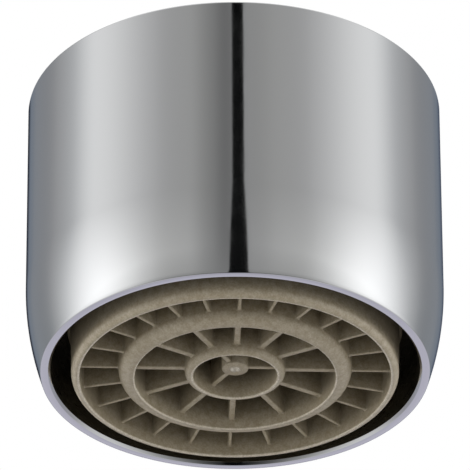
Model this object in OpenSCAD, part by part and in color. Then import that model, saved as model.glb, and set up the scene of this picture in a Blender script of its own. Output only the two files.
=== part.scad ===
// Flow-restricting outlet for a tap spout: a plated sleeve with a female thread that clamps a
// plastic insert against the spout. Outlet down, inlet up, millimetres.
// The origin is on the axis, at the lowest lips of the outlet grid.

/* [Sleeve] */
// Outside diameter of the plated sleeve
body_d = 24; // [21.6:0.1:27]
// Height of the sleeve from its rim to its top edge
body_h = 17.5; // [16.5:0.5:22]
// Height of the rounded taper above the rim
taper_h = 5.5; // [3:0.5:8]
// Width of the flat rim round the outlet, with its chamfer
rim_w = 0.58; // [0.5:0.02:1]
// Chamfer on the rim's inner edge
rim_chamfer = 0.15; // [0:0.05:0.3]
// Thickness of the inner ledge that carries the insert
ledge_t = 1.2; // [0.8:0.1:2]
// Width of the small break on the sleeve's outer edges
edge_break = 0.08; // [0:0.02:0.15]

/* [Thread] */
// Wall of the sleeve outside the thread's nominal diameter
sleeve_wall = 1; // [0.75:0.05:1.75]
// Pitch of the thread
thread_pitch = 1; // [0.75:0.25:1.5]
// Depth of the lead-in chamfer at the mouth
lead_in = 0.6; // [0.3:0.1:0.8]
// Length of the run-out groove under the thread
runout = 0.7; // [0.5:0.1:1.5]
// Radial depth of the run-out groove beyond the thread
runout_extra = 0.1; // [0.05:0.05:0.3]

/* [Insert seat] */
// How far the insert's lips stand out of the sleeve's rim
insert_stand = 0.38; // [0:0.02:1]
// Radial room for the insert's flange to pass the thread
flange_pass = 0.16; // [0.1:0.02:0.3]
// Width of the ring on which the flange sits
seat_w = 0.5; // [0.3:0.05:0.8]
// Radial room round the flange in its pocket
pocket_gap = 0.3; // [0.1:0.05:0.5]
// Radial room between the insert and the ledge
ledge_gap = 0.2; // [0.1:0.05:0.4]
// Radial width of the air gap round the outlet
air_gap = 1.18; // [0.7:0.02:1.3]
// Thickness of the insert's flange
flange_t = 1.2; // [0.9:0.1:1.8]
// Thickness of the sealing washer
washer_t = 1.6; // [1:0.1:2.5]
// Radial width of the sealing washer
washer_w = 1.4; // [1:0.1:1.5]

/* [Outlet case] */
// Thickness of the case wall
case_wall = 0.8; // [0.6:0.05:1.1]
// Radial step from the outlet lip to the collar, with the lip's draft
collar_step = 0.25; // [0.1:0.05:0.4]
// Height of the wall between the grid's upper face and the collar
collar_rise = 0.1; // [0:0.05:0.4]
// Number of air windows in the case wall
windows = 6; // [3:1:8]
// Angle that each post between two windows takes
post_angle = 16; // [10:1:24]
// Height of the sill between the upper screen and the windows
sill_h = 0.3; // [0.2:0.1:0.6]

/* [Outlet grid] */
// Inner radius of the middle ring at its lip
middle_ring_r = 5.74; // [5:0.1:6.2]
// Width of the middle ring
middle_ring_w = 0.91; // [0.6:0.05:1.1]
// Inner radius of the inner ring at its lip
inner_ring_r = 2.4; // [1.8:0.1:3]
// Width of the inner ring
inner_ring_w = 0.47; // [0.35:0.05:0.7]
// Height of the inner ring's lip above the others
inner_ring_rise = 0.14; // [0:0.02:0.3]
// Height that a ring's round end falls away outwards, as a share of its width
nose_fall = 0.34; // [0.2:0.02:0.6]
// Further fall of that round end, which every ring has whatever its width
nose_round = 0.15; // [0:0.01:0.2]
// Depth of the ribs' lower edges behind the lips
rib_recess = 0.55; // [0.3:0.05:1]
// Depth of the ribs along the flow
rib_depth = 2.35; // [2:0.05:4]
// How far the ribs stay below the rings' upper ends, on which the screens lie
rib_drop = 0.1; // [0.05:0.05:0.3]
// Number of ribs in the outer channel
outer_ribs = 24; // [12:1:30]
// Number of ribs in the middle channel
middle_ribs = 12; // [6:1:16]
// Number of spokes that carry the hub
spokes = 3; // [3:1:5]
// Thickness of the outer ribs at their lower edge
outer_rib_t = 0.2; // [0.15:0.01:0.35]
// Thickness of the middle ribs at their lower edge
middle_rib_t = 0.35; // [0.25:0.01:0.5]
// Thickness of the spokes at their lower edge
spoke_t = 0.3; // [0.2:0.01:0.5]
// Radius of the hub
hub_r = 0.75; // [0.55:0.05:1]
// Radius of the hub's round end
hub_end_r = 1.5; // [1.2:0.1:2.5]
// Radius of the round dimple that the gate leaves in the hub
gate_r = 0.4; // [0.25:0.05:0.5]
// Depth of that dimple
gate_depth = 0.1; // [0.05:0.01:0.2]
// Angle that the grid is turned about the axis
grid_turn = 2.2; // [0:0.1:15]
// Draft angle of the moulded walls
draft = 1.5; // [0.5:0.1:2]

/* [Screens] */
// Thickness of a wire screen
screen_t = 0.25; // [0.2:0.05:0.5]
// Spacing of the wires
mesh_pitch = 1.55; // [1.5:0.05:3]
// Width of a wire
mesh_wire = 0.4; // [0.2:0.05:0.6]
// Width of the pressed edge of a screen
screen_edge_w = 0.5; // [0.3:0.1:1]
// Height of the ring between the screens
spacer_h = 0.7; // [0.4:0.1:1.5]
// Radial width of the ring between the screens
spacer_w = 0.8; // [0.5:0.1:1.5]

/* [Jet plate] */
// Thickness of the plate with the jets
jet_plate_t = 0.7; // [0.5:0.1:1.2]
// Number of jets
jets = 24; // [12:1:32]
// Diameter of a jet
jet_d = 0.9; // [0.6:0.05:1.1]
// Width of the plate between the jets and the chamber's wall
jet_edge_w = 0.85; // [0.3:0.05:1.5]
// Height of the legs that hold the screens down
leg_h = 1.5; // [1.2:0.1:3]
// Angle that each leg takes
leg_angle = 12; // [8:1:20]
// Thickness of the cup wall above the plate
cup_wall = 0.6; // [0.5:0.05:0.8]
// Thickness of the flange that lies in the case
plate_flange_t = 0.6; // [0.4:0.05:0.8]
// Radial width of the plate's flange beyond its cup
plate_flange_w = 0.7; // [0.4:0.05:0.9]
// Height of the chamber under the regulator
chamber_h = 0.5; // [0.3:0.1:1]
// Width of the shoulder that carries the regulator
shoulder_w = 0.5; // [0.3:0.05:0.7]

/* [Flow regulator] */
// Thickness of the regulator's base
regulator_base_t = 0.7; // [0.5:0.1:1]
// Width of the base outside the channel's wall
regulator_rim_w = 1.48; // [0.7:0.02:2]
// Number of lobes round the core
lobes = 16; // [8:1:20]
// Radius of a lobe
lobe_r = 0.42; // [0.3:0.02:0.5]
// Cord diameter of the control ring
cord_d = 1.6; // [1.4:0.1:1.8]
// Radial room inside the control ring, from the lobes
ring_inner_gap = 0.5; // [0.3:0.05:0.7]
// Radial room outside the control ring
ring_outer_gap = 0.3; // [0.2:0.05:0.4]
// Height of the channel above the control ring
ring_headroom = 0.1; // [0.05:0.05:0.4]
// Thickness of the wall round the channel
channel_wall = 0.6; // [0.4:0.05:0.7]
// Number of ports under the control ring
ports = 12; // [6:1:16]
// Diameter of a port
port_d = 1.2; // [0.8:0.1:1.4]
// Thickness of the cover over the control ring
cover_t = 0.35; // [0.3:0.05:0.6]
// Number of windows in the cover
cover_windows = 8; // [4:1:12]
// Width of the bars between the cover's windows
cover_bar_w = 0.7; // [0.4:0.1:1]

/* [Inlet strainer] */
// Thickness of the strainer's flange
strainer_flange_t = 0.4; // [0.3:0.05:0.7]
// Width of the flange round the strainer's wall
strainer_lip = 0.45; // [0.3:0.05:0.7]
// Thickness of the strainer's walls
strainer_wall = 0.5; // [0.4:0.05:0.6]
// Height of the strainer's upright wall above its flange
strainer_side_h = 0.8; // [0.6:0.1:1.2]
// Rise of the domed top
dome_rise = 1; // [0.6:0.1:1.5]
// Width of a strainer slot
slot_w = 0.55; // [0.35:0.05:0.7]
// Radial length of a strainer slot
slot_l = 1.5; // [1:0.1:1.6]
// Width of the bars between two rings of slots
slot_bar_w = 0.55; // [0.4:0.05:0.8]
// Plain width left beside the strainer's wall and at its middle
slot_margin = 0.2; // [0.1:0.05:0.5]
// Width of the bar between neighbouring slots, at their inner ends
slot_side_bar_w = 0.4; // [0.3:0.05:0.8]

/* [Fits] */
// Radial room between pieces that slide into each other
slip = 0.1; // [0.05:0.01:0.15]
// Room between the regulator's cover and the top of the cup
cover_room = 0.05; // [0:0.05:0.3]

/* [Hidden] */

$fn = 96;
chrome = "#c9cbd0";
acetal = "#aca48f";
steel = "#b9b9b4";
white_acetal = "#e6e4dc";
black_rubber = "#1c1c1d";

// Extra length that makes a cut run past a face
past = 1;

// Radii, worked inwards from the thread
body_r = body_d / 2;
thread_d = body_d - 2 * sleeve_wall;
thread_minor_r = (thread_d - 1.0825 * thread_pitch) / 2;
runout_r = thread_d / 2 + runout_extra;
flange_r = thread_minor_r - flange_pass;
pocket_r = flange_r + pocket_gap;
ledge_r = flange_r - seat_w;
case_r = ledge_r - ledge_gap;
case_bore_r = case_r - case_wall;
lip_r = case_r - collar_step;
outlet_bore_r = lip_r + air_gap;
rim_r = outlet_bore_r + rim_w;
stack_r = case_bore_r - slip;
cup_r = stack_r - cup_wall;
chamber_r = cup_r - shoulder_w;
jet_circle_r = chamber_r - jet_edge_w - jet_d / 2;
plate_flange_r = stack_r + plate_flange_w;
regulator_r = cup_r - slip;
washer_r = flange_r + slip / 2;
washer_bore_r = washer_r - washer_w;
strainer_flange_r = washer_bore_r - 2 * slip;
strainer_r = strainer_flange_r - strainer_lip;

// Heights, worked upwards from the lips
rib_top = rib_recess + rib_depth;
grid_top = rib_top + rib_drop;
spacer_z = grid_top + screen_t;
upper_screen_z = spacer_z + spacer_h;
leg_z = upper_screen_z + screen_t;
window_z = leg_z + sill_h;
plate_z = leg_z + leg_h;
chamber_z = plate_z + jet_plate_t;
regulator_z = chamber_z + chamber_h;
channel_z = regulator_z + regulator_base_t;
cover_z = channel_z + cord_d + ring_headroom;
case_top = cover_z + cover_t + cover_room;
ledge_top = case_top - flange_t;
washer_top = case_top + washer_t;
thread_z = washer_top + runout;
rim_z = insert_stand;
body_top = rim_z + body_h;
strainer_side_z = case_top + strainer_flange_t;
dome_z = strainer_side_z + strainer_side_h;

// Arc of the taper, tangent to the straight side of the sleeve
taper_in = body_r - rim_r;
taper_arc_r = (taper_h * taper_h + taper_in * taper_in) / (2 * taper_in);

// Width of the outlet lip, which is what the collar and the draft leave of the case wall, and the
// drafted wall over it up to the collar
lip_w = case_wall - collar_step - grid_top * tan(draft);
lip_wall_r = lip_r + grid_top * tan(draft);
collar_z = grid_top + collar_rise;

// The regulator's channel, the control ring in it and the lobed core, worked inwards from the base
channel_outer_r = regulator_r - regulator_rim_w;
channel_r = channel_outer_r - channel_wall;
ring_r = channel_r - ring_outer_gap - cord_d / 2;
core_tip_r = ring_r - cord_d / 2 - ring_inner_gap;
core_r = core_tip_r - lobe_r;

// Sphere of the strainer's top, and its rings of slots
dome_r = (strainer_r * strainer_r + dome_rise * dome_rise) / (2 * dome_rise);
slot_step = slot_l + slot_bar_w;
slot_start_r = strainer_r - strainer_wall - slot_margin;
slot_rows = floor((slot_start_r - slot_margin) / slot_step);

// A rectangle in a section, from one radius and height to another
module block(r0, z0, r1, z1) {
    translate([r0, z0]) square([r1 - r0, z1 - z0]);
}

// Copies turned evenly about the axis
module around(count, start = 0) {
    for (i = [0:count - 1]) rotate(start + i * 360 / count) children();
}

// A stretch of ring about the axis, centred on +X
module arc_block(angle, r0, z0, r1, z1) {
    rotate(-angle / 2) rotate_extrude(angle = angle) block(r0, z0, r1, z1);
}

// A corner cut at 45 degrees from a section: side is 1 for an outer edge and -1 for a bore's edge
module edge_cut(r, z, side, up, width) {
    reach = width + past;
    polygon([
        [r - side * reach, z + up * past], [r + side * past, z - up * reach],
        [r + side * past, z + up * past]
    ]);
}

// Section of a moulded ring: drafted walls, and a round end that is lowest at its inner lip
module ring_section(r_in, w, z0) {
    fall = nose_fall * w + nose_round;
    nose_r = (w * w + fall * fall) / (2 * fall);
    spread = (grid_top - z0) * tan(draft);
    intersection() {
        polygon([[r_in, z0], [r_in + w, z0], [r_in + w + spread, grid_top], [r_in - spread, grid_top]]);
        union() {
            translate([r_in, z0 + nose_r]) circle(r = nose_r);
            block(0, z0 + nose_r, r_in + 2 * w, grid_top);
        }
    }
}

// A rib along +X with drafted sides, from radius r0 to r1
module rib(r0, r1, z0, t) {
    top_t = t + 2 * (rib_top - z0) * tan(draft);
    rotate([90, 0, 90])
        translate([0, 0, r0])
            linear_extrude(height = r1 - r0)
                polygon([[-t / 2, z0], [t / 2, z0], [top_t / 2, rib_top], [-top_t / 2, rib_top]]);
}

// Outline of the plated sleeve before it is bored: straight above, and a long round taper to the rim
module sleeve_outline() {
    intersection() {
        block(0, rim_z, body_r, body_top);
        union() {
            translate([body_r - taper_arc_r, rim_z + taper_h]) circle(r = taper_arc_r);
            block(0, rim_z + taper_h, body_r, body_top);
        }
    }
}

// Plated brass sleeve, turned in one piece, with the ledge that carries the insert
module sleeve() {
    color(chrome)
        rotate_extrude()
            difference() {
                sleeve_outline();
                block(0, rim_z - past, outlet_bore_r, ledge_top - ledge_t);
                block(0, rim_z, ledge_r, ledge_top + past);
                block(0, ledge_top, pocket_r, washer_top);
                block(0, washer_top, runout_r, thread_z);
                block(0, thread_z - past, thread_minor_r, body_top + past);
                polygon([
                    [0, body_top - lead_in], [thread_minor_r, body_top - lead_in],
                    [thread_minor_r + lead_in + past, body_top + past], [0, body_top + past]
                ]);
                edge_cut(rim_r, rim_z, 1, -1, edge_break);
                edge_cut(outlet_bore_r, rim_z, -1, -1, rim_chamfer);
                edge_cut(body_r, body_top, 1, 1, edge_break);
            }
}

// Section of the case: the outlet lip, the collar above it, the wall and the flange
module case_section() {
    ring_section(lip_r - lip_w, lip_w, 0);
    polygon([
        [lip_r - lip_w / 2, rib_top], [lip_r, rib_top], [lip_wall_r, grid_top], [lip_wall_r, collar_z],
        [case_r, collar_z + case_r - lip_wall_r], [case_r, case_top],
        [case_bore_r, case_top], [case_bore_r, grid_top]
    ]);
    block(case_bore_r, ledge_top, flange_r, case_top);
}

// Hub of the grid: a round end with the dimple that the gate leaves
module hub() {
    hub_h = grid_top - rib_recess;
    difference() {
        intersection() {
            translate([0, 0, rib_recess])
                cylinder(h = hub_h, r1 = hub_r, r2 = hub_r + hub_h * tan(draft));
            translate([0, 0, rib_recess + hub_end_r]) sphere(r = hub_end_r);
        }
        translate([0, 0, rib_recess - past]) cylinder(h = past + gate_depth, r = gate_r);
    }
}

// Outlet case, moulded in one piece: flanged wall with air windows, and the grid of rings and ribs
module outlet_case() {
    middle_r = middle_ring_r + middle_ring_w / 2;
    inner_r = inner_ring_r + inner_ring_w / 2;
    spoke_z = rib_recess + hub_end_r - sqrt(hub_end_r * hub_end_r - hub_r * hub_r);
    color(acetal) {
        difference() {
            rotate_extrude()
                difference() {
                    case_section();
                    block(0, case_top - plate_flange_t, plate_flange_r + slip, case_top + past);
                }
            around(windows, 180 / windows)
                arc_block(360 / windows - post_angle, case_bore_r - past, window_z, case_r + past, plate_z);
        }
        rotate_extrude() {
            ring_section(middle_ring_r, middle_ring_w, 0);
            ring_section(inner_ring_r, inner_ring_w, inner_ring_rise);
        }
        rotate(grid_turn) {
            around(outer_ribs) rib(middle_r, lip_r - lip_w / 2, rib_recess, outer_rib_t);
            around(middle_ribs) rib(inner_r, middle_r, rib_recess, middle_rib_t);
            around(spokes) rib(hub_r / 2, inner_r, spoke_z, spoke_t);
        }
        hub();
    }
}

// Woven wire screen with a pressed edge: one layer of wires lies over the other
module screen(z) {
    mesh_r = stack_r - screen_edge_w;
    wires = floor((mesh_r - mesh_wire) / mesh_pitch);
    layer_t = 0.6 * screen_t;
    color(steel)
        translate([0, 0, z]) {
            rotate_extrude() block(mesh_r, 0, stack_r, screen_t);
            intersection() {
                cylinder(h = screen_t, r = mesh_r + screen_edge_w / 2);
                for (i = [-wires:wires]) {
                    translate([-stack_r, i * mesh_pitch - mesh_wire / 2, 0])
                        cube([2 * stack_r, mesh_wire, layer_t]);
                    translate([i * mesh_pitch - mesh_wire / 2, -stack_r, screen_t - layer_t])
                        cube([mesh_wire, 2 * stack_r, layer_t]);
                }
            }
        }
}

module lower_screen() {
    screen(grid_top);
}

module upper_screen() {
    screen(upper_screen_z);
}

// Plain ring that keeps the two screens apart
module screen_spacer() {
    color(white_acetal) rotate_extrude() block(stack_r - spacer_w, spacer_z, stack_r, upper_screen_z);
}

// Jet plate: a flanged cup whose floor is pierced by the jets, on legs that hold the screens down
module jet_plate() {
    color(white_acetal) {
        difference() {
            rotate_extrude() {
                block(0, plate_z, stack_r, chamber_z);
                block(chamber_r, plate_z, stack_r, regulator_z);
                block(cup_r, plate_z, stack_r, case_top);
                block(cup_r, case_top - plate_flange_t, plate_flange_r, case_top);
            }
            around(jets)
                translate([jet_circle_r, 0, plate_z - past])
                    cylinder(h = jet_plate_t + 2 * past, d = jet_d);
        }
        around(windows) arc_block(leg_angle, cup_r, leg_z, stack_r, chamber_z);
    }
}

// Regulator body: a ported base, a lobed core and the wall of the channel between them
module regulator_body() {
    channel_h = cover_z - channel_z;
    color(white_acetal) {
        difference() {
            translate([0, 0, regulator_z]) cylinder(h = regulator_base_t, r = regulator_r);
            around(ports)
                translate([ring_r - cord_d / 4, 0, regulator_z - past])
                    cylinder(h = regulator_base_t + 2 * past, d = port_d);
        }
        rotate_extrude() block(channel_r, regulator_z, channel_outer_r, cover_z);
        translate([0, 0, regulator_z]) {
            cylinder(h = regulator_base_t + channel_h, r = core_r);
            around(lobes) translate([core_r, 0, 0]) cylinder(h = regulator_base_t + channel_h, r = lobe_r);
        }
    }
}

// Rubber ring that closes on the lobes as the pressure rises
module control_ring() {
    color(black_rubber)
        rotate_extrude() translate([ring_r, channel_z + cord_d / 2]) circle(d = cord_d);
}

// Slotted cover that keeps the control ring in its channel
module regulator_cover() {
    color(white_acetal)
        translate([0, 0, cover_z])
            difference() {
                cylinder(h = cover_t, r = channel_outer_r);
                difference() {
                    translate([0, 0, -past])
                        rotate_extrude() block(core_tip_r, 0, channel_r, cover_t + 2 * past);
                    around(cover_windows)
                        translate([0, -cover_bar_w / 2, -2 * past])
                            cube([channel_outer_r, cover_bar_w, cover_t + 4 * past]);
                }
            }
}

// Section of the strainer: a skirt that holds the regulator down, a flange and a domed top
module strainer_section() {
    dome_centre_z = dome_z + dome_rise - dome_r;
    block(regulator_r - strainer_wall, channel_z, regulator_r, strainer_side_z);
    block(regulator_r - strainer_wall, case_top, strainer_flange_r, strainer_side_z);
    difference() {
        intersection() {
            block(0, case_top, strainer_r, dome_z + dome_rise);
            translate([0, dome_centre_z]) circle(r = dome_r);
        }
        intersection() {
            block(-past, case_top - past, strainer_r - strainer_wall, dome_z + dome_rise);
            translate([0, dome_centre_z]) circle(r = dome_r - strainer_wall);
        }
    }
}

// Inlet strainer: rings of narrow slots keep grit out of the regulator
module inlet_strainer() {
    color(acetal)
        difference() {
            rotate_extrude() strainer_section();
            for (row = [0:slot_rows - 1]) {
                slot_r = slot_start_r - row * slot_step - slot_l;
                around(floor(2 * PI * slot_r / (slot_w + slot_side_bar_w)))
                    translate([slot_r, -slot_w / 2, strainer_side_z + strainer_side_h / 4])
                        cube([slot_l, slot_w, strainer_side_h + dome_rise]);
            }
        }
}

// Flat rubber washer between the insert's flange and the spout
module sealing_washer() {
    color(black_rubber) rotate_extrude() block(washer_bore_r, case_top, washer_r, washer_top);
}

sleeve();
outlet_case();
lower_screen();
screen_spacer();
upper_screen();
jet_plate();
regulator_body();
control_ring();
regulator_cover();
inlet_strainer();
sealing_washer();
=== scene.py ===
import math

import bmesh
import bpy
from mathutils import Matrix, Quaternion, Vector


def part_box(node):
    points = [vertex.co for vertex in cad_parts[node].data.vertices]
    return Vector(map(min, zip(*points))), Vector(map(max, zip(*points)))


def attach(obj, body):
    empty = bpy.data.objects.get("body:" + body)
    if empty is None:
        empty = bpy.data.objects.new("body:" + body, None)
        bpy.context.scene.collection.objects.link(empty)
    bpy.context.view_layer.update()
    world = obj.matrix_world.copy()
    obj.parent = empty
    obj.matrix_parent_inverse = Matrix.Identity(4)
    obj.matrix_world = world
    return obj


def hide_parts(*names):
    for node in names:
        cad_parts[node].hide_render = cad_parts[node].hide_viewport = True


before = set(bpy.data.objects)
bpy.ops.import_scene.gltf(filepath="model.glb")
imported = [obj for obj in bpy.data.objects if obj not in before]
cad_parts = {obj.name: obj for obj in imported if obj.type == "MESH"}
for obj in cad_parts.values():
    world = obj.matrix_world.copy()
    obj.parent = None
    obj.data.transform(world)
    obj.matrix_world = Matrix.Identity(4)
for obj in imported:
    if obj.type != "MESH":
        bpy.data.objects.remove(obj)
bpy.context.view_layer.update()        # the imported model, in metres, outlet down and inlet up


# Studio
# The part hangs in the air as it does under a spout, over a plain pale floor. The plating mirrors
# four rings of tones, with a shade on the left and a narrow black flag behind the camera. Matt
# surfaces get a soft light of their own, brightest at the level of the part.

def linear(colour):
    """A colour written as sRGB hex, as linear red, green, blue and alpha."""
    parts = [int(colour[i:i + 2], 16) / 255 for i in (1, 3, 5)]
    return [c / 12.92 if c <= 0.04045 else ((c + 0.055) / 1.055) ** 2.4 for c in parts] + [1.0]


def add(tree, kind, inputs, **settings):
    """Adds a node: settings are its properties, and an input is a plain value or another node's output."""
    node = tree.nodes.new(kind)
    for name, value in settings.items():
        setattr(node, name, value)
    for name, value in inputs.items():
        if isinstance(value, bpy.types.NodeSocket):
            tree.links.new(value, node.inputs[name])
        else:
            node.inputs[name].default_value = value
    return node


def tone_ramp(tree, position, tones):
    """A smooth ramp through tones that are given as (place from 0 to 1, hex colour)."""
    ramp = add(tree, "ShaderNodeValToRGB", {"Fac": position})
    ramp.color_ramp.interpolation = "CARDINAL"
    while len(ramp.color_ramp.elements) < len(tones):
        ramp.color_ramp.elements.new(0.5)
    for element, (place, colour) in zip(ramp.color_ramp.elements, tones):
        element.position = place
        element.color = linear(colour)
    return ramp.outputs["Color"]


def all_round(tones):
    """Tones for a full turn, from ones that are given by degrees from the front, alike on both sides."""
    right = [(0.5 + degrees / 360, colour) for degrees, colour in tones]
    left = [(1 - place, colour) for place, colour in reversed(right)]
    return left + right[1:]


HIGH_TONES = [(0, "#858585"), (20, "#8e8e8d"), (45, "#a3a3a3"), (82, "#d1d1d1"), (100, "#abacad"),
              (120, "#868789"), (148, "#6f7379"), (160, "#5c636d"), (168, "#3f4552"), (180, "#383d49")]
LEVEL_TONES = [(0, "#8c8c8c"), (20, "#9b9b9a"), (45, "#bcbcbb"), (80, "#ffffff"), (118, "#929496"),
               (150, "#74797f"), (163, "#666d78"), (168, "#373d4b"), (172, "#4c5464"), (180, "#262a35")]
LOW_TONES = [(0, "#7c7c7c"), (45, "#6f6f6f"), (90, "#b4b4b4"), (125, "#8c8b90"), (150, "#aeacb7"),
             (180, "#aeacb9")]
LOWEST_TONES = [(0, "#101010"), (60, "#8e8e8e"), (110, "#c8c8c8"), (180, "#8c8a94")]
LEFT_SHADE = [(-180, "#a0a0a0"), (-166, "#a6a6a6"), (-160, "#ffffff"), (-24, "#ffffff"), (-11, "#dfdfdf"),
              (-3, "#c8c8c8"), (4, "#ffffff"), (180, "#ffffff")]
CEILING_TONE = "#c4c4c4"
FLAG_TONE = "#070808"
LOWEST_SINE = -0.8
LOW_SINE = -0.45
LEVEL_SINE = 0.1
HIGH_SINE = 0.5
WALL_TOP_SINE = 0.6
CEILING_SINE = 0.9
FLAG_CENTRE = math.radians(2.2)
FLAG_HALF_WIDTH = math.radians(4.9)
FLAG_TAPER = math.radians(3.2)
PLATING_SHINE = 0.6
SOFT_LEVEL = [(0, "#727272"), (60, "#bababa"), (120, "#f0f0f0"), (180, "#aaaaaa")]
SOFT_SLANT = [(0, "#545454"), (45, "#6b6b6b"), (90, "#535353"), (112, "#000000"), (180, "#000000")]
SOFT_LOW = [(0, "#000000"), (60, "#3c3c3c"), (120, "#bababa"), (160, "#3c3c3c"), (180, "#000000")]
SOFT_NADIR = "#5a5a5a"
SOFT_CEILING = "#737373"
SOFT_STRENGTH = 5.5
SOFT_LOW_START, SOFT_LOW_END = -0.96, -0.89
SOFT_SLANT_START, SOFT_SLANT_END = -0.72, -0.62
SOFT_LEVEL_START, SOFT_LEVEL_END = -0.31, -0.21
SOFT_CEILING_START, SOFT_CEILING_END = 0.2, 0.32
FLOOR_HEIGHT = -0.45
FLOOR_SIZE = 6.0
FLOOR_TONE = "#ececec"
FLOOR_ROUGHNESS = 0.8
MIX_A, MIX_B, MIX_RESULT = 6, 7, 2      # the places of a Mix node's colour sockets


def blend(tree, height, start, end, lower, upper):
    """Blends from a lower tone to an upper one, between two heights that are sines of the elevation."""
    share = add(tree, "ShaderNodeMapRange", {
        "Value": height, "From Min": start, "From Max": end}).outputs["Result"]
    mix = add(tree, "ShaderNodeMix", {"Factor": share, MIX_A: lower, MIX_B: upper}, data_type="RGBA")
    return mix.outputs[MIX_RESULT]


def studio():
    """The world: what the plating mirrors, the soft light on matt surfaces, and plain white to the camera."""
    world = bpy.data.worlds.new("studio")
    world.use_nodes = True
    tree = world.node_tree
    tree.nodes.clear()
    ray = add(tree, "ShaderNodeTexCoord", {}).outputs["Generated"]
    split = add(tree, "ShaderNodeSeparateXYZ", {"Vector": ray}).outputs
    height = split["Z"]
    towards_front = add(tree, "ShaderNodeMath", {0: split["Y"], 1: -1.0}, operation="MULTIPLY").outputs[0]
    azimuth = add(tree, "ShaderNodeMath", {0: split["X"], 1: towards_front}, operation="ARCTAN2").outputs[0]
    place = add(tree, "ShaderNodeMapRange", {
        "Value": azimuth, "From Min": -math.pi, "From Max": math.pi}).outputs["Result"]
    lowest, low, level, high, soft_low, soft_slant, soft_level = [
        tone_ramp(tree, place, all_round(tones)) for tones in
        (LOWEST_TONES, LOW_TONES, LEVEL_TONES, HIGH_TONES, SOFT_LOW, SOFT_SLANT, SOFT_LEVEL)]

    walls = blend(tree, height, LEVEL_SINE, HIGH_SINE, level, high)
    shade = tone_ramp(tree, place, [(0.5 + degrees / 360, tone) for degrees, tone in LEFT_SHADE])
    walls = add(tree, "ShaderNodeMix", {"Factor": 1.0, MIX_A: walls, MIX_B: shade}, data_type="RGBA",
                blend_type="MULTIPLY").outputs[MIX_RESULT]
    below = blend(tree, height, LOWEST_SINE, LOW_SINE, lowest, low)
    walls = blend(tree, height, LOW_SINE, LEVEL_SINE, below, walls)
    from_flag = add(tree, "ShaderNodeMath", {0: azimuth, 1: FLAG_CENTRE}, operation="SUBTRACT").outputs[0]
    from_flag = add(tree, "ShaderNodeMath", {0: from_flag}, operation="ABSOLUTE").outputs[0]
    flag_half = add(tree, "ShaderNodeMath", {0: height, 1: -FLAG_TAPER, 2: FLAG_HALF_WIDTH},
                    operation="MULTIPLY_ADD").outputs[0]
    off_flag = add(tree, "ShaderNodeMath", {0: from_flag, 1: flag_half}, operation="GREATER_THAN").outputs[0]
    walls = add(tree, "ShaderNodeMix", {"Factor": off_flag, MIX_A: linear(FLAG_TONE), MIX_B: walls},
                data_type="RGBA").outputs[MIX_RESULT]
    room = blend(tree, height, WALL_TOP_SINE, CEILING_SINE, walls, linear(CEILING_TONE))
    mirrored = add(tree, "ShaderNodeBackground", {"Color": room, "Strength": 1 / PLATING_SHINE}).outputs[0]

    soft = blend(tree, height, SOFT_LOW_START, SOFT_LOW_END, linear(SOFT_NADIR), soft_low)
    soft = blend(tree, height, SOFT_SLANT_START, SOFT_SLANT_END, soft, soft_slant)
    soft = blend(tree, height, SOFT_LEVEL_START, SOFT_LEVEL_END, soft, soft_level)
    soft = blend(tree, height, SOFT_CEILING_START, SOFT_CEILING_END, soft, linear(SOFT_CEILING))
    lit = add(tree, "ShaderNodeBackground", {"Color": soft, "Strength": SOFT_STRENGTH}).outputs[0]

    kind = add(tree, "ShaderNodeLightPath", {}).outputs
    white = add(tree, "ShaderNodeBackground", {"Color": linear("#ffffff"), "Strength": 1.0}).outputs[0]
    both = add(tree, "ShaderNodeMixShader", {0: kind["Is Glossy Ray"], 1: lit, 2: mirrored}).outputs[0]
    both = add(tree, "ShaderNodeMixShader", {0: kind["Is Camera Ray"], 1: both, 2: white}).outputs[0]
    add(tree, "ShaderNodeOutputWorld", {"Surface": both})
    bpy.context.scene.world = world


def floor():
    """A plain pale floor, well below the part, that neither lights it nor shows in its plating."""
    bm = bmesh.new()
    bmesh.ops.create_grid(bm, x_segments=1, y_segments=1, size=FLOOR_SIZE / 2)
    bmesh.ops.translate(bm, verts=bm.verts, vec=(0, 0, FLOOR_HEIGHT))
    mesh = bpy.data.meshes.new("floor")
    bm.to_mesh(mesh)
    paint = bpy.data.materials.new("painted_board")
    paint.use_nodes = True
    shader = paint.node_tree.nodes["Principled BSDF"]
    shader.inputs["Base Color"].default_value = linear(FLOOR_TONE)
    shader.inputs["Roughness"].default_value = FLOOR_ROUGHNESS
    mesh.materials.append(paint)
    board = bpy.data.objects.new("floor", mesh)
    board.visible_glossy = False
    board.visible_diffuse = False
    bpy.context.scene.collection.objects.link(board)


PHOTO_SIZE = 470
RIM_CENTRE_PX = (234.4, 373.5)
PX_PER_MM = 17.539
CAMERA_DISTANCE = 367.0
CAMERA_BELOW = math.radians(30.23)
CAMERA_ROLL = math.radians(-0.265)
SENSOR_MM = 36.0
CLIP_START, CLIP_END = 0.01, 20.0
MM_PER_METRE = 1000


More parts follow.
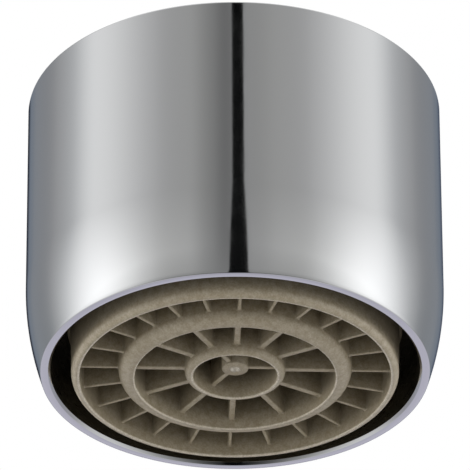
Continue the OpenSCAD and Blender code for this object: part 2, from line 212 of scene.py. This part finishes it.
def camera(rim_centre):
    """The photograph's camera: below the part, looking up at its outlet."""
    focal_px = PX_PER_MM * CAMERA_DISTANCE
    away = Vector((0, -math.cos(CAMERA_BELOW), -math.sin(CAMERA_BELOW)))
    up = CAMERA_BELOW + math.atan((RIM_CENTRE_PX[1] - PHOTO_SIZE / 2) / focal_px)
    side = math.atan((RIM_CENTRE_PX[0] - PHOTO_SIZE / 2) / focal_px)
    look = Vector((-math.sin(side) * math.cos(up), math.cos(side) * math.cos(up), math.sin(up)))
    lens = bpy.data.cameras.new("camera")
    lens.sensor_width = SENSOR_MM
    lens.lens = focal_px * SENSOR_MM / PHOTO_SIZE
    lens.clip_start = CLIP_START
    lens.clip_end = CLIP_END
    cam = bpy.data.objects.new("camera", lens)
    cam.location = rim_centre + away * CAMERA_DISTANCE / MM_PER_METRE
    cam.rotation_mode = "QUATERNION"
    cam.rotation_quaternion = look.to_track_quat("-Z", "Y") @ Quaternion((0, 0, 1), CAMERA_ROLL)
    bpy.context.scene.collection.objects.link(cam)
    bpy.context.scene.camera = cam


bpy.context.scene.view_settings.view_transform = "Standard"
studio()
floor()
camera(Vector((0, 0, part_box("sleeve")[0].z)))


# Sleeve
# One brass turning, bored and threaded M22 x 1 for the spout, tapered towards the outlet,
# polished and chrome plated. The bore gets a thinner, duller plate than the outside, and its
# darker colour is also painted shade in the gap round the case.

MM = 0.001
TURN = 2 * math.pi
BODY_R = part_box("sleeve")[1].x / MM
RIM_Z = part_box("sleeve")[0].z / MM
BODY_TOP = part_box("sleeve")[1].z / MM
TAPER_H = 5.5
TAPER_STEPS = 24
RIM_R = 11.109
RIM_CHAMFER = 0.15
RIM_EDGE = 0.06
BORE_EDGE = 0.04
TOP_EDGE = 0.12
INNER_EDGE = 0.05
POCKET_FILLET = 0.1
BORE_FILLET = 0.2
OUTLET_BORE_R = 10.529
LEDGE_R = 9.799
LEDGE_BOTTOM = 7.3
LEDGE_TOP = 8.5
POCKET_R = 10.599
WASHER_TOP = 11.3
RUNOUT_R = 11.1
THREAD_Z = 12.0
THREAD_CREST_R = 10.459
THREAD_PITCH = 1.0
THREAD_DEPTH = 0.541
CREST_SHARE = 0.25
ROOT_SHARE = 0.125
LEAD_IN = 0.6
FIRST_LEAD_ROW = 3
THREAD_ROW = 0.045
THREAD_STOP = 0.1
SLEEVE_STEPS = 224
FILLET_STEPS = 4
TURNED_STEPS = 144
MERGE = 1e-4
HAIR = 1e-3
PLATE_MARGIN = 0.01
NOISE_LOW, NOISE_HIGH = 0.25, 0.75      # nearly all of a noise lies between these


def rounded(corners):
    """A section's points, from corners given as (radius, height, fillet)."""
    points = []
    for i, (r, z, fillet) in enumerate(corners):
        here = Vector((r, z))
        if fillet == 0:
            points.append(here)
            continue
        back = (Vector(corners[i - 1][:2]) - here).normalized()
        on = (Vector(corners[(i + 1) % len(corners)][:2]) - here).normalized()
        half = back.angle(on) / 2
        reach = fillet / math.tan(half)
        centre = here + (back + on).normalized() * fillet / math.sin(half)
        first = here + back * reach - centre
        last = here + on * reach - centre
        for step in range(FILLET_STEPS + 1):
            spoke = first.normalized().slerp(last.normalized(), step / FILLET_STEPS)
            points.append(centre + spoke * fillet)
    return points


def turned(points, steps=TURNED_STEPS, closed=True):
    """A solid turned about the axis from its section."""
    bm = bmesh.new()
    verts = [bm.verts.new((r, 0, z)) for r, z in points]
    pairs = list(zip(verts, verts[1:]))
    if closed:
        pairs.append((verts[-1], verts[0]))
    edges = [bm.edges.new(pair) for pair in pairs]
    bmesh.ops.spin(bm, geom=verts + edges, cent=(0, 0, 0), axis=(0, 0, 1), angle=TURN, steps=steps,
                   use_merge=True)
    bmesh.ops.remove_doubles(bm, verts=bm.verts, dist=MERGE)
    return bm


def piece(bm, name, node, slot, *materials):
    """Makes the finished object: millimetres to metres, faces outwards, smooth, in place of its CAD node."""
    bmesh.ops.recalc_face_normals(bm, faces=bm.faces)
    bmesh.ops.scale(bm, vec=(MM, MM, MM), verts=bm.verts)
    for face in bm.faces:
        face.smooth = True
    mesh = bpy.data.meshes.new(name)
    bm.to_mesh(mesh)
    bm.free()
    for material in materials:
        mesh.materials.append(material)
    made = bpy.data.objects.new(name, mesh)
    bpy.context.scene.collection.objects.link(made)
    made.modifiers.new("flat_faces_stay_flat", "WEIGHTED_NORMAL")
    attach(made, "root")
    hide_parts(node)
    return made


def new_material(name, colour, roughness, metallic=0.0):
    """A material with its plain sockets set, and its tree, its shader and the object coordinates."""
    material = bpy.data.materials.new(name)
    material.use_nodes = True
    tree = material.node_tree
    shader = tree.nodes["Principled BSDF"]
    shader.inputs["Base Color"].default_value = linear(colour)
    shader.inputs["Roughness"].default_value = roughness
    shader.inputs["Metallic"].default_value = metallic
    coordinates = add(tree, "ShaderNodeTexCoord", {}).outputs["Object"]
    return material, tree, shader, coordinates


def noise(tree, coordinates, grain_mm, detail=2.0):
    """Noise whose grains are about that many millimetres wide."""
    return add(tree, "ShaderNodeTexNoise", {
        "Vector": coordinates, "Scale": 1 / (grain_mm * MM), "Detail": detail}).outputs["Fac"]


def spread(tree, value, low, high):
    """Turns noise from 0 to 1 into a value from low to high."""
    return add(tree, "ShaderNodeMapRange", {
        "Value": value, "From Min": NOISE_LOW, "From Max": NOISE_HIGH,
        "To Min": low, "To Max": high}).outputs["Result"]


def bump(tree, shader, height, depth_mm):
    """Raises the surface by height, which is from 0 to 1, times a depth in millimetres."""
    relief = add(tree, "ShaderNodeBump", {"Height": height, "Distance": depth_mm * MM, "Strength": 1.0})
    tree.links.new(relief.outputs["Normal"], shader.inputs["Normal"])


def chrome_plate():
    """Polished chrome plate: a clean mirror that still has the faint waves of the polishing wheel."""
    material, tree, shader, at = new_material(
        "polished_chrome_plate", "#cacbcc", roughness=0.06, metallic=1.0)
    haze = spread(tree, noise(tree, at, grain_mm=1.2, detail=5.0), low=0.045, high=0.085)
    tree.links.new(haze, shader.inputs["Roughness"])
    bump(tree, shader, noise(tree, at, grain_mm=2.5), depth_mm=0.002)
    return material


def bore_plate_and_shade():
    """Thin nickel in the bore: greyer, duller and darker than the outside, with the marks of the boring tool;
    the darkness is partly painted shade for the gap.
    """
    material, tree, shader, at = new_material("dull_nickel_plate_painted_shade", "#85827a", roughness=0.35, metallic=1.0)
    along = add(tree, "ShaderNodeMapping", {"Vector": at, "Scale": (0.05, 0.05, 1.0)}).outputs[0]
    marks = noise(tree, along, grain_mm=0.06, detail=3.0)
    tree.links.new(spread(tree, marks, low=0.22, high=0.4), shader.inputs["Roughness"])
    bump(tree, shader, marks, depth_mm=0.004)
    return material


def sleeve_section():
    """The sleeve's section, round from the rim's outer edge."""
    taper_in = BODY_R - RIM_R
    arc_r = (TAPER_H ** 2 + taper_in ** 2) / (2 * taper_in)
    sweep = math.asin(TAPER_H / arc_r)
    taper = []
    for step in range(1, TAPER_STEPS + 1):
        angle = -sweep * (1 - step / TAPER_STEPS)
        taper.append((BODY_R - arc_r + arc_r * math.cos(angle), RIM_Z + TAPER_H + arc_r * math.sin(angle), 0))
    mouth_r = THREAD_CREST_R + LEAD_IN
    corners = [(RIM_R, RIM_Z, RIM_EDGE)] + taper
    corners += [(BODY_R, BODY_TOP, TOP_EDGE), (mouth_r, BODY_TOP, INNER_EDGE)]
    chamfer_rows = round(LEAD_IN / THREAD_ROW)
    for row in range(FIRST_LEAD_ROW, chamfer_rows):
        down = row * LEAD_IN / chamfer_rows
        corners.append((mouth_r - down, BODY_TOP - down, 0))
    bore_h = BODY_TOP - LEAD_IN - THREAD_Z
    bore_rows = round(bore_h / THREAD_ROW)
    for row in range(bore_rows + 1):
        corners.append((THREAD_CREST_R, BODY_TOP - LEAD_IN - row * bore_h / bore_rows, 0))
    corners += [
        (RUNOUT_R, THREAD_Z, 0), (RUNOUT_R, WASHER_TOP, POCKET_FILLET), (POCKET_R, WASHER_TOP, INNER_EDGE),
        (POCKET_R, LEDGE_TOP, POCKET_FILLET), (LEDGE_R, LEDGE_TOP, INNER_EDGE),
        (LEDGE_R, LEDGE_BOTTOM, INNER_EDGE), (OUTLET_BORE_R, LEDGE_BOTTOM, BORE_FILLET),
        (OUTLET_BORE_R, RIM_Z + RIM_CHAMFER, BORE_EDGE), (OUTLET_BORE_R + RIM_CHAMFER, RIM_Z, BORE_EDGE)
    ]
    return rounded(corners)


def cut_thread(bm):
    """Cuts the groove of the right-handed thread: flat crests, flanks at 60 degrees and a narrow root."""
    for vert in bm.verts:
        r = math.hypot(vert.co.x, vert.co.y)
        if r > RUNOUT_R - HAIR or not THREAD_Z - HAIR < vert.co.z < BODY_TOP - THREAD_STOP:
            continue
        turn = math.atan2(vert.co.y, vert.co.x) / TURN
        from_root = 2 * abs((vert.co.z / THREAD_PITCH - turn) % 1 - 0.5)
        groove = min(max((1 - CREST_SHARE - from_root) / (1 - CREST_SHARE - ROOT_SHARE), 0), 1)
        wanted = max(r, THREAD_CREST_R + THREAD_DEPTH * groove)
        vert.co.x *= wanted / r
        vert.co.y *= wanted / r


bm = turned(sleeve_section(), steps=SLEEVE_STEPS)
cut_thread(bm)
# the bore's faces take the duller nickel, whose darker colour also paints the shade in the gap round the case
for face in bm.faces:
    middle = face.calc_center_median()
    inside = math.hypot(middle.x, middle.y) < RUNOUT_R + PLATE_MARGIN and middle.z > RIM_Z + RIM_CHAMFER
    face.material_index = int(inside and middle.z < BODY_TOP - INNER_EDGE)
piece(bm, "chromed_sleeve", "sleeve", "chrome_plated_brass", chrome_plate(), bore_plate_and_shade())


# Outlet case
# One moulding in beige acetal: a flanged wall with air windows, an outlet lip, and inside it a
# grid of two rings, thin drafted ribs and a hub, where the mark of the gate shows.

CASE_TOP = 9.7
GRID_TOP = 3.0
FLANGE_R = 10.299
CASE_R = 9.599
CASE_BORE_R = 8.799
PLATE_SEAT_R = 9.499
PLATE_SEAT_Z = 9.1
LIP_R = 9.349
LIP_W = 0.471
LIP_WALL_R = 9.427
COLLAR_Z = 3.1
CASE_FILLET = 0.05
FLANGE_FILLET = 0.08
SEAT_FILLET = 0.04
CASE_STEPS = 180
WINDOWS = 6
WINDOW_ANGLE = 44
WINDOW_Z = (4.5, 5.7)
WALL_MARGIN = 0.1
MIDDLE_RING = (5.74, 0.91, 0.0)         # inner radius, width and height of the lip
INNER_RING = (2.4, 0.47, 0.14)
NOSE_FALL = 0.34
NOSE_ROUND = 0.15
NOSE_SHAPE = 1.35
NOSE_EDGE = 0.08
NOSE_EDGE_STEPS = 5
NOSE_STEPS = 12
EDGE_HIGHLIGHT_BAND = 0.11
OUTER_RIBS, OUTER_RIB_W = 24, 0.2
MIDDLE_RIBS, MIDDLE_RIB_W = 12, 0.35
SPOKES, SPOKE_W = 3, 0.3
SPOKE_SINK = 0.05
RIB_Z = 0.64
RIB_TOP = 2.9
RIB_EDGE = 0.07
RIB_EDGE_MOST = 0.9                     # of half the rib's thickness
EDGE_MIDDLE = 0.3                       # how far in the middle of a rounded edge lies, of its radius
RIB_FILLET = 0.1
RIB_STATIONS = (0.0, 0.08, 0.2, 0.4, 0.7, 1.0)
RIB_SINK = 0.1
FLARE_DOWN = 0.6
DRAFT = math.tan(math.radians(1.5))
GRID_TURN = math.radians(2.2)
HUB_R = 0.75
HUB_END_R = 2.2
HUB_Z = 0.55
HUB_STEPS = 48
HUB_END_STEPS = 8
GATE_R = 0.4
GATE_EDGE = 0.03
GATE_DEPTH = 0.1
DIMPLE_R = 0.31
DIMPLE_RISE = 0.02
GATE_STUB_R = 0.27
GATE_STUB = ((0, 0.09), (0.07, 0.1), (0.14, 0.085), (0.2, 0.05), (GATE_STUB_R, 0.01))
RAGGED_FROM, RAGGED_TO = 0.05, 0.22
RAGGED_MM = 0.03
RAGGED_LOBES = 3
RAGGED_TWIST = 25
SPOKE_Z = 0.751


def nose(inner_r, width, z):
    """A ring's round end: a small round at its inner lip, where it is lowest, then a long one outwards."""
    rise = NOSE_SHAPE * (NOSE_FALL * width + NOSE_ROUND)
    points = []
    for step in range(NOSE_EDGE_STEPS + 1):
        turn = math.pi / 2 * step / NOSE_EDGE_STEPS
        points.append((inner_r + NOSE_EDGE * (1 - math.cos(turn)), z + NOSE_EDGE * (1 - math.sin(turn))))
    for step in range(1, NOSE_STEPS + 1):
        turn = math.pi / 2 * step / NOSE_STEPS
        out = (width - NOSE_EDGE) * math.sin(turn)
        points.append((inner_r + NOSE_EDGE + out, z + rise * (1 - math.cos(turn))))
    return points


def ring(inner_r, width, z):
    """A ring of the grid: drafted walls and a round end."""
    leave = (GRID_TOP - z) * DRAFT
    top = [(inner_r + width + leave, GRID_TOP), (inner_r - leave, GRID_TOP)]
    return turned(nose(inner_r, width, z) + top, steps=CASE_STEPS)


def case_wall():
    """The case's wall and flange, open at its air windows."""
    corners = [
        (LIP_WALL_R, COLLAR_Z, CASE_FILLET), (CASE_R, COLLAR_Z + CASE_R - LIP_WALL_R, CASE_FILLET),
        (CASE_R, WINDOW_Z[0], 0), (CASE_R, WINDOW_Z[1], 0), (CASE_R, LEDGE_TOP, 0),
        (FLANGE_R, LEDGE_TOP, FLANGE_FILLET), (FLANGE_R, CASE_TOP, FLANGE_FILLET),
        (PLATE_SEAT_R, CASE_TOP, SEAT_FILLET), (PLATE_SEAT_R, PLATE_SEAT_Z, 0),
        (CASE_BORE_R, PLATE_SEAT_Z, SEAT_FILLET), (CASE_BORE_R, WINDOW_Z[1], 0),
        (CASE_BORE_R, WINDOW_Z[0], 0), (CASE_BORE_R, GRID_TOP, 0)
    ]
    lip = [Vector(point) for point in nose(LIP_R - LIP_W, LIP_W, 0)]
    bm = turned(lip + rounded(corners), steps=CASE_STEPS)
    for window in range(WINDOWS):
        centre = (window + 0.5) * TURN / WINDOWS
        opened = []
        for face in bm.faces:
            middle = face.calc_center_median()
            off = math.remainder(math.atan2(middle.y, middle.x) - centre, TURN)
            wall = math.hypot(middle.x, middle.y) > CASE_BORE_R - WALL_MARGIN
            if wall and abs(off) < math.radians(WINDOW_ANGLE / 2) and WINDOW_Z[0] < middle.z < WINDOW_Z[1]:
                opened.append(face)
        bmesh.ops.delete(bm, geom=opened, context="FACES")
        rim = [edge for edge in bm.edges if edge.is_boundary]
        bmesh.ops.bridge_loops(bm, edges=rim)
    return bm


def rib(start_r, end_r, z, thickness):
    """A rib along +X, extruded from station to station: it flares into a fillet where it meets a ring."""
    bm = bmesh.new()
    half = thickness / 2
    base = half + (RIB_TOP - z) * DRAFT
    edge = min(RIB_EDGE, half * RIB_EDGE_MOST)
    middle = EDGE_MIDDLE * edge
    lower = [(-half, z + edge), (-half + middle, z + middle), (-half + edge, z)]
    outline = [(-base, RIB_TOP)] + lower + [(-y, height) for y, height in reversed(lower)] + [(base, RIB_TOP)]
    verts = [bm.verts.new((0, y, height)) for y, height in outline]
    face = bm.faces.new(verts)
    places = [start_r - RIB_SINK] + [start_r + RIB_FILLET * share for share in RIB_STATIONS]
    places += [end_r - RIB_FILLET * share for share in reversed(RIB_STATIONS)] + [end_r + RIB_SINK]
    for number, place in enumerate(places):
        if number:
            grown = bmesh.ops.extrude_face_region(bm, geom=[face])["geom"]
            end = next(item for item in grown if isinstance(item, bmesh.types.BMFace))
            bm.faces.remove(face)
            face = end
            verts = list(face.verts)
        from_ring = max(min(place - start_r, end_r - place), 0)
        flare = 0.0
        if from_ring < RIB_FILLET:
            flare = RIB_FILLET - math.sqrt(RIB_FILLET ** 2 - (RIB_FILLET - from_ring) ** 2)
        for vert, (y, height) in zip(verts, outline):
            down = flare * FLARE_DOWN if height < RIB_TOP else 0.0
            vert.co = (place, y + math.copysign(flare, y), height - down)
    return bm


def add_copies(target, bm, count, turn=0.0):
    """Adds a part of a moulding to the moulding, in copies turned evenly about the axis."""
    bmesh.ops.rotate(bm, cent=(0, 0, 0), matrix=Matrix.Rotation(turn, 3, "Z"), verts=bm.verts)
    if count > 1:
        bmesh.ops.spin(bm, geom=bm.verts[:] + bm.edges[:] + bm.faces[:], cent=(0, 0, 0), axis=(0, 0, 1),
                       angle=TURN * (count - 1) / count, steps=count - 1, use_duplicate=True)
    bmesh.ops.recalc_face_normals(bm, faces=bm.faces)
    mesh = bpy.data.meshes.new("part")
    bm.to_mesh(mesh)
    bm.free()
    target.from_mesh(mesh)
    bpy.data.meshes.remove(mesh)


def hub():
    """The hub: a round end with a shallow dimple, and in it the ragged stub of the gate."""
    end = []
    for step in range(HUB_END_STEPS + 1):
        r = GATE_R + GATE_EDGE + (HUB_R - GATE_R - GATE_EDGE) * step / HUB_END_STEPS
        end.append((r, HUB_Z + HUB_END_R - math.sqrt(HUB_END_R ** 2 - r ** 2)))
    floor_z = HUB_Z + GATE_DEPTH
    stub = [(r, floor_z - proud) for r, proud in GATE_STUB]
    dimple = [(DIMPLE_R, floor_z), (GATE_R - GATE_EDGE, floor_z - DIMPLE_RISE)]
    top = [(HUB_R + (GRID_TOP - HUB_Z) * DRAFT, GRID_TOP), (0, GRID_TOP)]
    bm = turned(stub + dimple + end + top, steps=HUB_STEPS, closed=False)
    for vert in bm.verts:
        r = math.hypot(vert.co.x, vert.co.y)
        if RAGGED_FROM < r < RAGGED_TO and vert.co.z < SPOKE_Z:
            turn = math.atan2(vert.co.y, vert.co.x)
            vert.co.z += RAGGED_MM * math.sin(RAGGED_LOBES * turn + RAGGED_TWIST * r)
    return bm


def acetal(name, colour, dark, light, roughness=0.42, relief_mm=0.012):
    """Moulded acetal: matt, waxy and mottled, with the mould's grain, drawn coarse enough to show."""
    material, tree, shader, at = new_material(name, colour, roughness)
    mottle = noise(tree, at, grain_mm=0.35, detail=6.0)
    grain = noise(tree, at, grain_mm=0.1)
    mixed = add(tree, "ShaderNodeMath", {0: mottle, 1: grain}, operation="ADD").outputs[0]
    half = add(tree, "ShaderNodeMath", {0: mixed, 1: 0.5}, operation="MULTIPLY").outputs[0]
    ramp = tone_ramp(tree, half, [(0.34, dark), (0.66, light)])
    tree.links.new(ramp, shader.inputs["Base Color"])
    gloss = spread(tree, grain, low=roughness - 0.06, high=roughness + 0.08)
    tree.links.new(gloss, shader.inputs["Roughness"])
    bump(tree, shader, grain, relief_mm)
    return material


# The lips' edges are smoother than the rest and painted paler, a painted highlight; the gate's stub is torn
# and painted paler still, for painted glints
BEIGE_ACETAL = acetal("moulded_beige_acetal", "#a49881", "#94886f", "#b1a691")
SMOOTH_EDGE_HIGHLIGHT_ACETAL = acetal("smooth_beige_acetal_painted_highlight", "#c4baa6", "#b6ab96", "#d0c7b5", roughness=0.25)
TORN_GATE_GLINT_ACETAL = acetal("torn_gate_acetal_painted_glints", "#c9c1b0", "#a89f8c", "#e6dfd0", roughness=0.22, relief_mm=0.05)
bm = case_wall()
middle_out = MIDDLE_RING[0] + MIDDLE_RING[1]
inner_out = INNER_RING[0] + INNER_RING[1]
add_copies(bm, ring(*MIDDLE_RING), 1)
add_copies(bm, ring(*INNER_RING), 1)
add_copies(bm, rib(middle_out, LIP_R - LIP_W, RIB_Z, OUTER_RIB_W), OUTER_RIBS, GRID_TURN)
add_copies(bm, rib(inner_out, MIDDLE_RING[0], RIB_Z, MIDDLE_RIB_W), MIDDLE_RIBS, GRID_TURN)
add_copies(bm, rib(HUB_R - SPOKE_SINK, INNER_RING[0], SPOKE_Z, SPOKE_W), SPOKES, GRID_TURN)
add_copies(bm, hub(), 1)
# faces along the lips' inner edges take the smoother acetal, painted paler as a painted highlight
for face in bm.faces:
    middle = face.calc_center_median()
    r = math.hypot(middle.x, middle.y)
    for edge_r, edge_z in ((LIP_R - LIP_W, 0.0), (MIDDLE_RING[0], 0.0), (INNER_RING[0], INNER_RING[2])):
        if 0 < r - edge_r < EDGE_HIGHLIGHT_BAND and middle.z < edge_z + NOSE_EDGE:
            face.material_index = 1
    # the gate's stub takes the torn acetal, painted paler as painted glints
    if r < GATE_STUB_R and middle.z < SPOKE_Z:
        face.material_index = 2
piece(bm, "outlet_case_moulding", "outlet_case", "beige_acetal", BEIGE_ACETAL, SMOOTH_EDGE_HIGHLIGHT_ACETAL, TORN_GATE_GLINT_ACETAL)


# Screens
# Two discs of plain woven stainless wire with a pressed rim. They lie on the grid, one over the
# other, and break the jets into a soft stream.

LOWER_SCREEN_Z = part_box("lower_screen")[0].z / MM
UPPER_SCREEN_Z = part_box("upper_screen")[0].z / MM
SCREEN_T = 0.25
SCREEN_R = 8.699
SCREEN_EDGE_W = 0.5
SCREEN_EDGE_STEP = 0.03
SCREEN_FILLET = 0.05
SCREEN_STEPS = 96
WIRE_R = 0.06
WIRE_PITCH = 0.62
WIRE_SIDES = 6
WIRE_GAP = 0.004
WIRE_SINK = 0.1
STATIONS_A_PITCH = 4


def wire(bm, along, number, length, z):
    """One wire of the weave, which passes over one crossing wire and under the next."""
    off = (number + 0.5) * WIRE_PITCH
    count = int(length / WIRE_PITCH) * STATIONS_A_PITCH
    stations = [length * (2 * i / count - 1) for i in range(count + 1)]
    loops = []
    for x in stations:
        wave = math.cos(math.pi * x / WIRE_PITCH + math.pi / 2) * (-1) ** number
        height = z + SCREEN_T / 2 + (WIRE_R + WIRE_GAP) * wave * (1 if along else -1)
        loop = []
        for side in range(WIRE_SIDES):
            angle = TURN * side / WIRE_SIDES
            y = off + WIRE_R * math.cos(angle)
            place = (x, y) if along else (y, x)
            loop.append(bm.verts.new((*place, height + WIRE_R * math.sin(angle))))
        loops.append(loop)
    for first, second in zip(loops, loops[1:]):
        for side in range(WIRE_SIDES):
            after = (side + 1) % WIRE_SIDES
            bm.faces.new((first[side], first[after], second[after], second[side]))
    bm.faces.new(loops[0])
    bm.faces.new(loops[-1])


def screen(name, node, z, steel):
    """A disc of wires laid both ways, in its pressed rim."""
    mesh_r = SCREEN_R - SCREEN_EDGE_W
    bm = turned(rounded([
        (mesh_r, z + SCREEN_EDGE_STEP, SCREEN_FILLET), (SCREEN_R, z, SCREEN_FILLET),
        (SCREEN_R, z + SCREEN_T, SCREEN_FILLET), (mesh_r, z + SCREEN_T - SCREEN_EDGE_STEP, SCREEN_FILLET)
    ]), steps=SCREEN_STEPS)
    wires = int(mesh_r / WIRE_PITCH)
    for number in range(-wires, wires):
        off = (number + 0.5) * WIRE_PITCH
        length = math.sqrt((mesh_r + WIRE_SINK) ** 2 - off ** 2)
        wire(bm, True, number, length, z)
        wire(bm, False, number, length, z)
    piece(bm, name, node, "steel_wire", steel)


def steel_wire():
    """Drawn stainless wire: bright, with the dull film that the cleaning bath leaves."""
    material, tree, shader, at = new_material("drawn_stainless_wire", "#8f8d88", roughness=0.32, metallic=1.0)
    film = spread(tree, noise(tree, at, grain_mm=0.5), low=0.25, high=0.42)
    tree.links.new(film, shader.inputs["Roughness"])
    return material


STEEL_WIRE = steel_wire()
screen("lower_screen_mesh", "lower_screen", LOWER_SCREEN_Z, STEEL_WIRE)
screen("upper_screen_mesh", "upper_screen", UPPER_SCREEN_Z, STEEL_WIRE)


# Inner mouldings
# The spacer, the jet plate, the regulator's body and cover are moulded in white acetal, and the
# strainer over them in beige. They drop into the case from its inlet end and clip there.

WHITE_ACETAL = acetal("moulded_white_acetal", "#e6e4dc", "#dedbd2", "#eeece5")
FLAT_ANGLE = math.radians(1)
SHARP_ANGLE = math.radians(40)


def softened(name, node, slot, material, edge_mm):
    """A smooth-shaded copy of a CAD node whose edges are broken by a small bevel."""
    bm = bmesh.new()
    bm.from_mesh(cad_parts[node].data)
    bmesh.ops.scale(bm, vec=(1 / MM,) * 3, verts=bm.verts)
    bmesh.ops.remove_doubles(bm, verts=bm.verts, dist=HAIR)
    bmesh.ops.dissolve_limit(bm, angle_limit=FLAT_ANGLE, verts=bm.verts, edges=bm.edges)
    made = piece(bm, name, node, slot, material)
    bevel = made.modifiers.new("broken_edges", "BEVEL")
    bevel.width = edge_mm * MM
    bevel.segments = 2
    bevel.limit_method = "ANGLE"
    bevel.angle_limit = SHARP_ANGLE
    made.modifiers.move(1, 0)       # the bevel comes before the weighted normals


softened("spacer_ring", "screen_spacer", "white_acetal", WHITE_ACETAL, edge_mm=0.06)
softened("jet_plate_moulding", "jet_plate", "white_acetal", WHITE_ACETAL, edge_mm=0.04)
softened("regulator_body_moulding", "regulator_body", "white_acetal", WHITE_ACETAL, edge_mm=0.04)
softened("regulator_cover_moulding", "regulator_cover", "white_acetal", WHITE_ACETAL, edge_mm=0.04)
softened("inlet_strainer_moulding", "inlet_strainer", "beige_acetal", BEIGE_ACETAL, edge_mm=0.04)


# Rubber rings
# The control ring is a moulded O-ring that closes on the regulator's lobes under pressure. The
# washer is cut from sheet and seals the spout against the case.

CHANNEL_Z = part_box("control_ring")[0].z / MM
CORD_R = 0.8
CORD_SIDES = 32
RING_R = 4.82
WASHER_R = 10.349
WASHER_BORE_R = 8.949
WASHER_EDGE = 0.12


def rubber():
    """Black EPDM: matt, with a dusty bloom that lifts the tone in patches."""
    material, tree, shader, at = new_material("moulded_black_rubber", "#1c1c1d", roughness=0.65)
    bloom = noise(tree, at, grain_mm=1.5, detail=5.0)
    tree.links.new(tone_ramp(tree, bloom, [(0.35, "#161617"), (0.7, "#2a2a2b")]), shader.inputs["Base Color"])
    bump(tree, shader, noise(tree, at, grain_mm=0.12), depth_mm=0.01)
    return material


RUBBER = rubber()
angles = [TURN * side / CORD_SIDES for side in range(CORD_SIDES)]
cord = [(RING_R + CORD_R * math.cos(angle), CHANNEL_Z + CORD_R + CORD_R * math.sin(angle))
        for angle in angles]
piece(turned(cord), "control_o_ring", "control_ring", "black_rubber", RUBBER)
washer = [(WASHER_BORE_R, CASE_TOP, WASHER_EDGE), (WASHER_R, CASE_TOP, WASHER_EDGE),
          (WASHER_R, WASHER_TOP, WASHER_EDGE), (WASHER_BORE_R, WASHER_TOP, WASHER_EDGE)]
piece(turned(rounded(washer)), "sealing_washer_rubber", "sealing_washer", "black_rubber", RUBBER)
